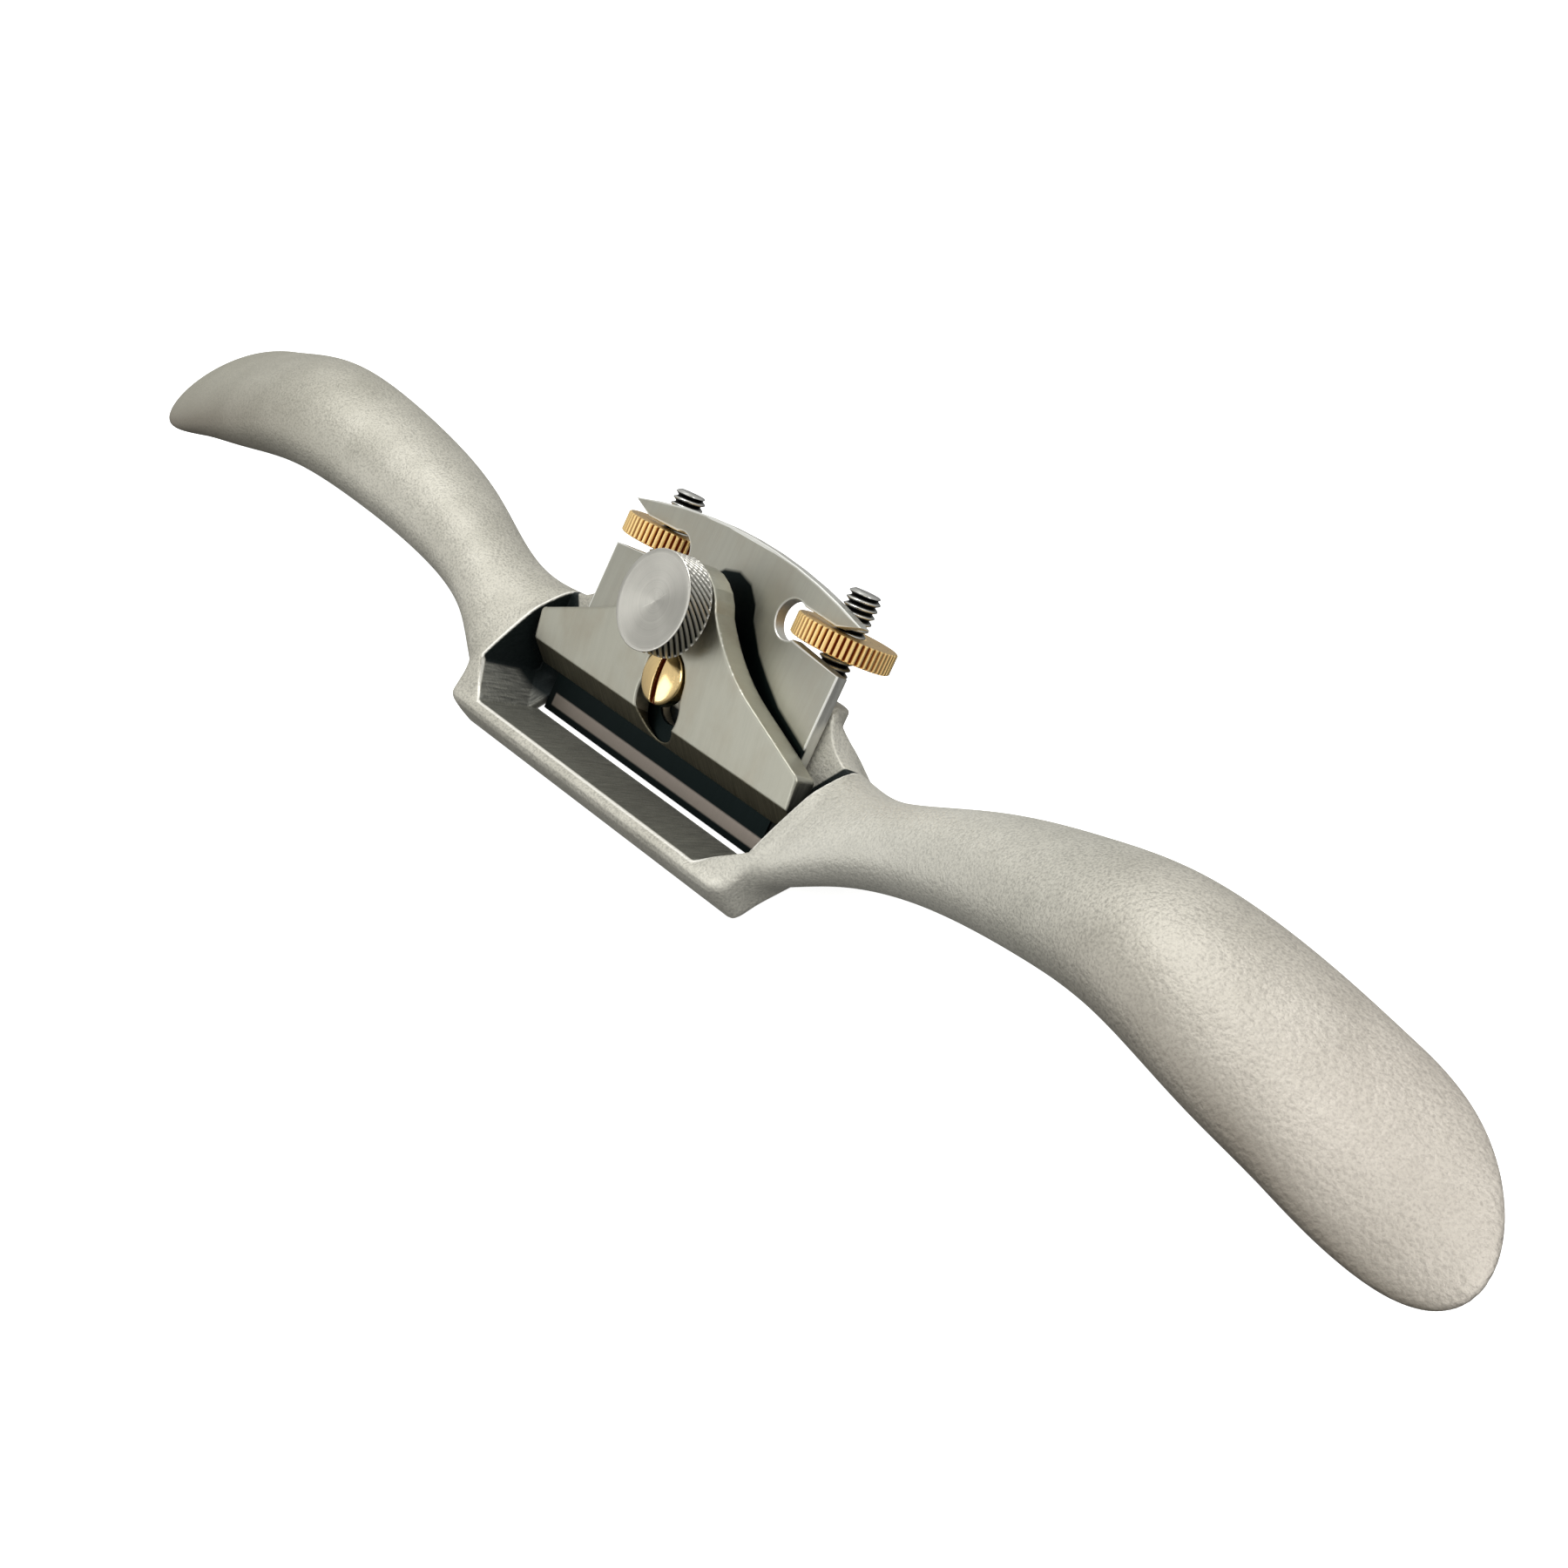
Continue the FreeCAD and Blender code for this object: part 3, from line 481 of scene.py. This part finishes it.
def polygon_distance(across, upward, corners):
    """The signed distance from every point to a closed polygon, negative inside."""
    corners = np.asarray(corners, float)
    nearest = np.full(across.shape, 1e9)
    inside = np.zeros(across.shape, bool)
    for start, stop in zip(corners, np.roll(corners, -1, axis=0)):
        way = stop - start
        px, py = across - start[0], upward - start[1]
        share = np.clip((px * way[0] + py * way[1]) / (way @ way), 0.0, 1.0)
        nearest = np.minimum(nearest, np.hypot(px - share * way[0], py - share * way[1]))
        if start[1] != stop[1]:
            crosses = (start[1] > upward) != (stop[1] > upward)
            inside ^= crosses & (px < way[0] * py / way[1])
    return np.where(inside, -nearest, nearest)


def both(first, second, blend):
    """Where two solids overlap, with the edge rounded over a width."""
    near = np.clip(blend - np.abs(first - second), 0.0, None) / blend
    return np.maximum(first, second) + near * near * blend * 0.25


def either(first, second, blend):
    """Two solids joined, with a fillet of a width."""
    return -both(-first, -second, blend)


def cut(solid, tool, blend):
    return both(solid, -tool, blend)


def skin(distance, axes):
    """The surface of a grid of distances, as points in millimetres and faces."""
    grid = openvdb.FloatGrid()
    grid.copyFromArray(distance.astype(np.float32))
    points, triangles, quads = grid.convertToPolygons(isovalue=0.0, adaptivity=0.0)
    columns = [np.interp(points[:, k], np.arange(len(axes[k])), axes[k]) for k in range(3)]
    return np.stack(columns, axis=1), triangles.tolist() + quads.tolist()


def spaced(*runs):
    """An axis of grid lines, from runs of start, stop and gap."""
    wider = 1.0
    lines = [np.arange(start, stop, gap * wider) for start, stop, gap in runs]
    return np.concatenate(lines + [[runs[-1][1]]])


def grid_of(axes):
    return np.meshgrid(*axes, indexing="ij", sparse=True)


def through(places, values, wanted):
    """A natural cubic spline through values at some places."""
    places, values = np.asarray(places, float), np.asarray(values, float)
    gap = np.diff(places)
    count = len(places)
    system, right = np.eye(count), np.zeros(count)
    for row in range(1, count - 1):
        system[row, row - 1:row + 2] = gap[row - 1], 2 * (gap[row - 1] + gap[row]), gap[row]
        ahead = (values[row + 1] - values[row]) / gap[row]
        behind = (values[row] - values[row - 1]) / gap[row - 1]
        right[row] = 6 * (ahead - behind)
    bend = np.linalg.solve(system, right)
    wanted = np.clip(wanted, places[0], places[-1])
    at = np.clip(np.searchsorted(places, wanted) - 1, 0, count - 2)
    after, before = wanted - places[at], places[at + 1] - wanted
    width = gap[at]
    curve = (bend[at] * before ** 3 + bend[at + 1] * after ** 3) / (6 * width)
    curve += (values[at] / width - bend[at] * width / 6) * before
    curve += (values[at + 1] / width - bend[at + 1] * width / 6) * after
    return curve


def drawn(corners, steps=10):
    """An outline's points: a corner's third value bends the run to the next into an arc."""
    points = []
    for start, stop in zip(corners, corners[1:] + corners[:1]):
        first, last = np.array(start[:2], float), np.array(stop[:2], float)
        points.append(first)
        if len(start) == 2:
            continue
        way = last - first
        length = np.hypot(*way)
        half = math.asin(length / 2 / abs(start[2]))
        outward = np.array([way[1], -way[0]]) / length * math.copysign(1.0, start[2])
        middle = (first + last) / 2 - outward * abs(start[2]) * math.cos(half)
        for step in range(1, steps):
            angle = -half + 2 * half * step / steps
            aside = math.sin(angle) * abs(start[2])
            points.append(middle + way / length * aside + outward * math.cos(angle) * abs(start[2]))
    return np.array(points)


def mirrored(corners):
    """Add the other half of an outline, whose corners run up the right-hand side."""
    left = []
    for index in range(len(corners) - 1, -1, -1):
        place = (-corners[index][0], corners[index][1])
        bend = corners[index - 1][2:] if index else ()
        left.append(place + bend)
    return (corners[:-1] if corners[-1][0] == 0.0 else corners) + left


# ------------------------------------------------------------------ body casting

# Each handle's stations: out, back, high, half width, half thickness and roll in degrees.
# The widths are those before the handle's end is rounded off.
STATIONS = np.array([
    (31.0, 4.3, 6.1, 12.6, 5.6, 8.0),
    (38.0, 5.6, 6.9, 10.3, 5.5, 3.0),
    (46.0, 7.6, 8.6, 8.1, 5.7, -8.0),
    (63.4, 11.2, 12.9, 8.6, 7.0, -15.0),
    (80.7, 11.9, 16.9, 10.2, 8.1, -16.0),
    (98.1, 10.2, 21.0, 11.2, 8.2, -6.0),
    (115.4, 8.6, 19.4, 12.3, 6.9, 1.0),
    (128.0, 7.5, 17.0, 12.2, 5.2, 5.0),
    (140.0, 5.6, 14.4, 12.2, 3.7, 12.0),
    (150.0, 2.9, 11.9, 12.3, 2.7, 18.0),
])
END_ROUND = 22.0
FRAME_HALF, FRAME_MIDDLE, FRAME_REACH = 35.5, 3.4, 15.0
LIP_HIGH = 6.9
RAMP_RUN = 1.247
LIP_INNER = -(0.75 + RAMP_RUN * LIP_HIGH)
BED_RISE = -2.03
THROAT_HALF = 34.4
MILLED_HALF = 27.4
BLOCK_HALF = 27.2
STUD_X = 20.9
STUD_RISE = -4.6
STUD_RADIUS = 2.5
THREAD_PITCH = 1.0
MOUTH_FRONT = -0.5


def handle_distance(x, y, z):
    """The distance to one handle, as an oval whose size follows its stations."""
    back, high, wide, thick, roll = (through(STATIONS[:, 0], STATIONS[:, k], x) for k in range(1, 6))
    past = np.clip((x - STATIONS[-1, 0] + END_ROUND) / END_ROUND, 0.0, 1.0)
    kept = np.sqrt(np.maximum(1.0 - past ** 2.2, 0.003))
    roll = np.radians(roll)
    aside = ((y - back) * np.cos(roll) + (z - high) * np.sin(roll)) / (wide * kept)
    upward = ((z - high) * np.cos(roll) - (y - back) * np.sin(roll)) / (thick * kept)
    reach = np.sqrt(aside ** 2 + upward ** 2) + 1e-6
    slope = np.sqrt((aside / wide) ** 2 + (upward / thick) ** 2) / kept + 1e-6
    oval = reach * (reach - 1.0) / slope
    return np.maximum(np.maximum(oval, STATIONS[0, 0] - x), x - STATIONS[-1, 0])


def casting_distance(x, y, z):
    """The distance to the right half of the casting, from places in millimetres."""
    flat_y, flat_z = np.broadcast_arrays(y[0], z[0])
    side = polygon_distance(flat_y, flat_z, [
        (-9.4, 0.0), (17.5, 0.0), (18.4, 1.6), (18.4, 9.9), (16.8, 11.5), (12.2, 11.5),
        (10.2, 11.3), (-3.65, 8.2), (LIP_INNER, LIP_HIGH), (-11.0, LIP_HIGH), (-11.6, 5.8),
    ])[None]
    # The frame's corners are rounder at the back than at the front.
    round_off = np.where(y > FRAME_MIDDLE, 7.0, 4.0)
    plan_x = np.abs(x) - FRAME_HALF + round_off
    plan_y = np.abs(y - FRAME_MIDDLE) - FRAME_REACH + round_off
    plan = np.hypot(np.maximum(plan_x, 0), np.maximum(plan_y, 0)) - round_off
    plan = plan + np.minimum(np.maximum(plan_x, plan_y), 0)
    solid = both(side, plan, 1.4)
    bed_view = polygon_distance(flat_y, flat_z, [
        (5.87, 3.0), (19.0, 3.0), (19.0, 11.3), on_bed(0, 23.0, BED_RISE - 1.6)[1:],
        on_bed(0, 23.0, BED_RISE)[1:],
    ])[None]
    solid = either(solid, both(bed_view, np.abs(x) - THROAT_HALF, 0.5), 0.8)
    # Seen square to the bed, the back tapers from the frame's width to the iron's.
    up = (y + z) * MIDDLE_UP
    taper = (np.abs(x) - BLOCK_HALF - np.maximum(22.0 - up, 0.0) * 0.75) / 1.25
    solid = both(solid, taper, 1.0)
    # The neck flares into the frame, no higher than the rims' slope.
    slope = z - 8.9 - (y + 3.65) * 0.224 - np.maximum(x - THROAT_HALF, 0.0) * 0.5
    solid = either(solid, both(handle_distance(x, y, z), slope, 3.0), 3.0)
    rise = (z - y) * MIDDLE_UP
    boss = np.hypot(x - STUD_X, rise - STUD_RISE) - 4.8
    boss = both(boss, np.maximum(11.5 - up, up - 23.6), 0.6)
    solid = either(solid, boss, 2.0)
    solid = both(solid, -z, 0.15)
    # The milled throat: mouth, ramp and bed across the iron's width.
    milled = polygon_distance(flat_y, flat_z, [
        (LIP_INNER, 40.0), (LIP_INNER, LIP_HIGH), (MOUTH_FRONT, 0.0), (MOUTH_FRONT, -5.0),
        (3.6, -5.0), (3.6, 0.73), (42.87, 40.0),
    ])[None]
    solid = cut(solid, np.maximum(milled, np.abs(x) - MILLED_HALF), 0.12)
    # Beside the iron, rough sloping corners lead out to the side walls.
    share = np.clip((x - MILLED_HALF) / (THROAT_HALF - MILLED_HALF), 0.0, 1.2)
    front = (-0.75 - RAMP_RUN * z) * (1 - share) + (5.4 - 1.11 * z) * share
    corner = np.maximum(np.maximum((front - y) / 1.8, 1.3 - z), BED_RISE - 0.35 - rise)
    return cut(solid, np.maximum(corner, np.maximum(x - THROAT_HALF, 26.0 - x)), 0.15)


def make_casting():
    """Skin the right half's distances together with their mirror image."""
    across = spaced((0.0, 24.0, 0.5), (24.0, 42.0, 0.2), (42.0, 138.0, 0.55), (138.0, 151.2, 0.3))
    axes = [across, spaced((-12.6, 25.2, 0.21)), spaced((-1.5, 31.6, 0.2))]
    distance = casting_distance(*grid_of(axes))
    whole = np.concatenate([distance[:0:-1], distance], axis=0)
    axes[0] = np.concatenate([-across[:0:-1], across])
    points, faces = skin(whole, axes)
    new_piece("body_shell", points, faces, casting_metal, "body",
              ["body_casting"], smooth_angle=None)


make_casting()

# ------------------------------------------------------------------ plates


def plate(outline, holes, levels):
    """A plate's points and faces, from loops that are each inset by an amount at a height."""
    points, faces = [], []
    ends = []
    for loop_index, loop in enumerate([outline] + holes):
        before, after = np.roll(loop, 1, axis=0), np.roll(loop, -1, axis=0)
        along = after - before
        along /= np.hypot(along[:, 0], along[:, 1])[:, None]
        inward = np.stack([-along[:, 1], along[:, 0]], axis=1)
        rings = []
        for inset, height in levels:
            ring = loop + inward * inset
            rings.append(range(len(points), len(points) + len(loop)))
            points += [(x, up, height) for x, up in ring]
        for lower, upper in zip(rings, rings[1:]):
            for index in range(len(loop)):
                following = (index + 1) % len(loop)
                faces.append((lower[index], lower[following], upper[following], upper[index]))
        ends.append((rings[0], rings[-1]))
    for which in (0, 1):
        loops = [pair[which] for pair in ends]
        order = [index for loop in loops for index in loop]
        polygons = [[Vector((*points[index][:2], 0.0)) for index in loop] for loop in loops]
        faces += [[order[corner] for corner in face] for face in tessellate_polygon(polygons)]
    return np.array(points), faces


IRON_RIGHT = [
    (27.0, 0.15), (27.0, 28.1), (16.0, 29.3, -3.02), (11.0, 31.6, -3.02), (15.5, 34.15),
    (22.6, 33.9), (27.0, 35.5, 106.0),
]
# Inset and height of each ring of the iron: a second ring keeps the worn edge narrow.
IRON_LEVELS = [(0.45, -2.0), (0.12, -2.0), (0.0, -1.88), (0.0, -0.12), (0.12, 0.0), (0.45, 0.0)]
iron_outline = drawn(mirrored(IRON_RIGHT))
iron_slot = drawn([(-3.5, 12.6), (-3.5, 19.4, -3.501), (3.5, 19.4), (3.5, 12.6, -3.501)])
points, faces = plate(iron_outline, [iron_slot], IRON_LEVELS)
# The edge is ground back at 30 degrees from the face to the underside.
GRIND = math.radians(30.0)
for point in points:
    if point[1] < 1.0:
        point[1] = 0.15 - point[2] / math.tan(GRIND)
iron = new_piece("iron", points, faces, iron_metal, "iron", ["blade"],
                 smooth_angle=25.0)
stand(iron, BED)

# ------------------------------------------------------------------ lever cap

CAP_SLOPE = math.tan(CAP_TILT)
CAP_FRONT, CAP_FRONT_UP = 3.3, 9.3
SCREW_UP = 15.6
KEY_UP = 11.5
THUMB_UP = 25.8
THUMB_RISE = CAP_FRONT + CAP_SLOPE * (THUMB_UP - CAP_FRONT_UP)


def make_cap():
    """The winged cap: its plan cut to its side view, with the keyhole, its seat and the bore."""
    axes = [spaced((-33.0, 33.0, 0.15)), spaced((5.0, 34.2, 0.15)), spaced((-1.0, 9.0, 0.15))]
    across, up, rise = grid_of(axes)
    plan_x, plan_up = np.broadcast_arrays(across[:, :, 0], up[:, :, 0])
    shape = drawn(mirrored([
        (31.6, 5.0), (32.0, 10.2), (32.0, 13.7, 1.2), (31.0, 14.5), (18.5, 19.3, -28.1),
        (6.6, 28.0, 6.86),
    ]))
    plan = polygon_distance(plan_x, plan_up, shape)[:, :, None]
    key = np.hypot(across, up - KEY_UP) - 5.0
    neck = np.maximum(np.abs(across) - 2.8, np.maximum(KEY_UP - up, up - SCREW_UP - 0.6))
    neck = np.minimum(neck, np.hypot(across, up - SCREW_UP - 0.6) - 2.8)
    seat = np.maximum(np.abs(across) - 4.6, np.maximum(KEY_UP - up, up - SCREW_UP))
    seat = np.minimum(seat, np.hypot(across, up - SCREW_UP) - 4.6)
    plan = both(plan, -np.minimum(key, neck), 0.2)
    side = polygon_distance(*np.broadcast_arrays(up[0], rise[0]), [
        (6.0, 0.03), (7.2, 0.03), (7.8, 0.35), (16.0, 0.35), (33.0, 0.35 + CAP_SLOPE * 17.0),
        (33.0, CAP_FRONT + CAP_SLOPE * (33.0 - CAP_FRONT_UP)), (CAP_FRONT_UP, CAP_FRONT),
    ])[None]
    solid = both(plan, side, 0.4)
    solid = cut(solid, np.maximum(seat, 3.0 - rise), 0.2)
    bore = np.hypot(across, up - THUMB_UP) - 2.95
    points, faces = skin(cut(solid, bore, 0.3), axes)
    cap = new_piece("cap_plate", points, faces, cap_metal, "cap", ["lever_cap"],
                    smooth_angle=None)
    stand(cap, BED)


make_cap()

# ------------------------------------------------------------------ turned pieces


def lathe(profile, sides, shape=None):
    """Turn a profile of radius and height about Z. shape changes a point's radius."""
    points, faces = [], []
    for radius, height in profile:
        for side in range(sides):
            angle = 2 * math.pi * side / sides
            real = shape(radius, height, angle) if shape else radius
            points.append((real * math.cos(angle), real * math.sin(angle), height))
    rings = len(profile)
    for ring in range(rings - 1):
        for side in range(sides):
            after = (side + 1) % sides
            lower, upper = ring * sides, (ring + 1) * sides
            faces.append((lower + side, lower + after, upper + after, upper + side))
    for ring, flip in ((0, True), (rings - 1, False)):
        if profile[ring][0] < 0.3:
            loop = [ring * sides + side for side in range(sides)]
            faces.append(tuple(loop[::-1] if flip else loop))
    return points, faces


def ramped(profile, gap):
    """The same profile, with points no further apart than a gap."""
    finer = []
    for start, stop in zip(profile, profile[1:]):
        steps = max(1, int(math.hypot(stop[0] - start[0], stop[1] - start[1]) / gap))
        for step in range(steps):
            share = step / steps
            finer.append(tuple(a + (b - a) * share for a, b in zip(start, stop)))
    return finer + [profile[-1]]


def ridge(phase, crest, root):
    """A ridge's depth: 0 across its crest and 1 across its root, which each take a share."""
    wave = abs((phase % 1.0) - 0.5) * 2
    return min(1.0, max(0.0, (1.0 - wave - crest) / (1.0 - crest - root)))


def thread(low, high, radius, pitch):
    """A threaded rod with a chamfered top: each ring follows the helix, so the crests are crisp."""
    depth, sides, per_turn = 0.6 * pitch, 64, 10
    points, faces = [], []
    rows = int((high - low) / pitch * per_turn) + per_turn + 1
    for row in range(rows):
        for side in range(sides):
            turn = side / sides
            height = low + (row / per_turn + turn - 1) * pitch
            root = ridge(row / per_turn + 0.5, 0.15, 0.1)
            kept = min(high, max(low, height))
            limit = radius - max(0.0, kept - (high - 0.5))
            real = min(radius - (depth * root if low < height < high else depth), limit)
            angle = turn * 2 * math.pi
            points.append((real * math.cos(angle), real * math.sin(angle), kept))
    for row in range(rows - 1):
        for side in range(sides):
            after, lift = (side + 1) % sides, per_turn if side == sides - 1 else 0
            first, second = row * sides + side, (row + lift) * sides + after
            if row + lift + 1 < rows:
                faces.append((first, second, second + sides, first + sides))
    for loop in (range(sides - 1, -1, -1), range((rows - 1) * sides, rows * sides)):
        faces.append(tuple(loop))
    return points, faces


def make_stud(side, word):
    points, faces = thread(13.0, 39.6, STUD_RADIUS, THREAD_PITCH)
    stud = new_piece(f"stud_{word}", points, faces, stud_metal, "body",
                     [f"adjuster_stud_{word}"], smooth_angle=40.0)
    stand(stud, -BED, on_bed(STUD_X * side, 0.0, STUD_RISE))


def make_nut(side, word):
    """A brass nut with straight, full-width knurling between chamfered rims."""
    low, high, radius, teeth = 30.3, 33.5, 7.6, 50

    def knurled(at, height, angle):
        if at < 6.2:
            return at
        edge = min(height - low, high - height)
        depth = 0.45 * min(1.0, max(0.0, edge / 0.12))
        return at - depth * ridge(angle / (2 * math.pi) * teeth, 0.45, 0.15)

    profile = [(2.52, low), (6.9, low), (7.4, low), (radius, low + 0.15)]
    profile += [(radius, high - 0.15), (7.4, high), (6.9, high)]
    profile += [(2.85, high), (2.52, high - 0.3), (2.52, low)]
    points, faces = lathe(profile, teeth * 8, knurled)
    nut = new_piece(f"nut_{word}", points, faces, brass, f"nut_{word}",
                    [f"adjuster_nut_{word}"], smooth_angle=30.0)
    stand(nut, -BED, on_bed(STUD_X * side, 0.0, STUD_RISE))


for side, word in ((-1, "left"), (1, "right")):
    make_stud(side, word)
    make_nut(side, word)


def make_thumbscrew():
    """The head has a coned face and coarse slanting knurls, and a plain thin rim."""
    radius, low, high, teeth, slant = 7.5, 1.65, 6.2, 40, 0.85

    def knurled(at, height, angle):
        if at < radius - 0.3 or height < low + 0.2 or height > high - 0.12:
            return at
        edge = min(height - low - 0.2, high - 0.12 - height)
        depth = 0.5 * min(1.0, edge / 0.12)
        return at - depth * ridge(angle / (2 * math.pi) * teeth - height * slant, 0.4, 0.1)

    profile = ramped([(0.02, high - 0.62), (7.3, high)], 0.5)
    profile += [(7.42, high - 0.03), (radius, high - 0.11)]
    profile += ramped([(radius, high - 0.13), (radius, low + 0.21)], 0.15)
    profile += [(radius, low + 0.19), (7.35, low), (3.6, low), (3.6, 0.8), (2.6, 0.8)]
    profile += [(2.6, -4.9), (1.2, -5.95), (0.02, -5.95)]
    points, faces = lathe(profile, teeth * 10, knurled)
    head = new_piece("thumb_head", points, faces, head_metal, "thumb",
                     ["thumbscrew"], smooth_angle=30.0)
    stand(head, BED, on_bed(0.0, THUMB_UP, THUMB_RISE))


make_thumbscrew()


def make_cap_screw():
    """A polished brass head, domed and slotted, over a plain shank."""
    gap = 0.08
    axes = [spaced((-4.6, 4.6, gap)), spaced((-4.6, 4.6, gap)), spaced((2.6, 6.4, gap))]
    x, y, z = grid_of(axes)
    out = np.hypot(x, y)
    dome = np.sqrt(out ** 2 + (z + 7.0) ** 2) - 12.9
    head = both(both(out - 4.2, 3.1 - z, 0.3), dome, 0.5)
    slot = np.abs(x * math.cos(SLOT_LEAN) - y * math.sin(SLOT_LEAN)) - 0.52
    points, faces = skin(cut(head, np.maximum(slot, 4.6 - z), 0.12), axes)
    screw = new_piece("cap_screw_head", points, faces, brass_polished, "cap_screw",
                      ["lever_cap_screw"], smooth_angle=None)
    stand(screw, BED, on_bed(0.0, SCREW_UP, 0.0))
    points, faces = lathe([(0.02, -9.0), (2.1, -9.0), (2.5, -8.5), (2.5, 3.2), (0.02, 3.2)], 48)
    shank = new_piece("cap_screw_shank", points, faces, brass, "cap_screw",
                      ["lever_cap_screw"])
    stand(shank, BED, on_bed(0.0, SCREW_UP, 0.0))


make_cap_screw()

# ------------------------------------------------------------------ floor

floor_material = Material("floor", (0.75, 0.75, 0.75), 0.0, 0.9)
floor_material.shader.inputs["Emission Color"].default_value = (1.0, 1.0, 1.0, 1.0)
floor_material.shader.inputs["Emission Strength"].default_value = 0.82
floor_mesh = bpy.data.meshes.new("floor")
floor_mesh.from_pydata([(-3, -3, 0), (3, -3, 0), (3, 3, 0), (-3, 3, 0)], [], [(0, 1, 2, 3)])
floor_mesh.materials.append(floor_material.data)
floor = bpy.data.objects.new("floor", floor_mesh)
bpy.context.collection.objects.link(floor)
floor.location.z = -0.0002
# The pale floor would otherwise light the tool from below.
floor.visible_glossy = False
floor.visible_diffuse = False
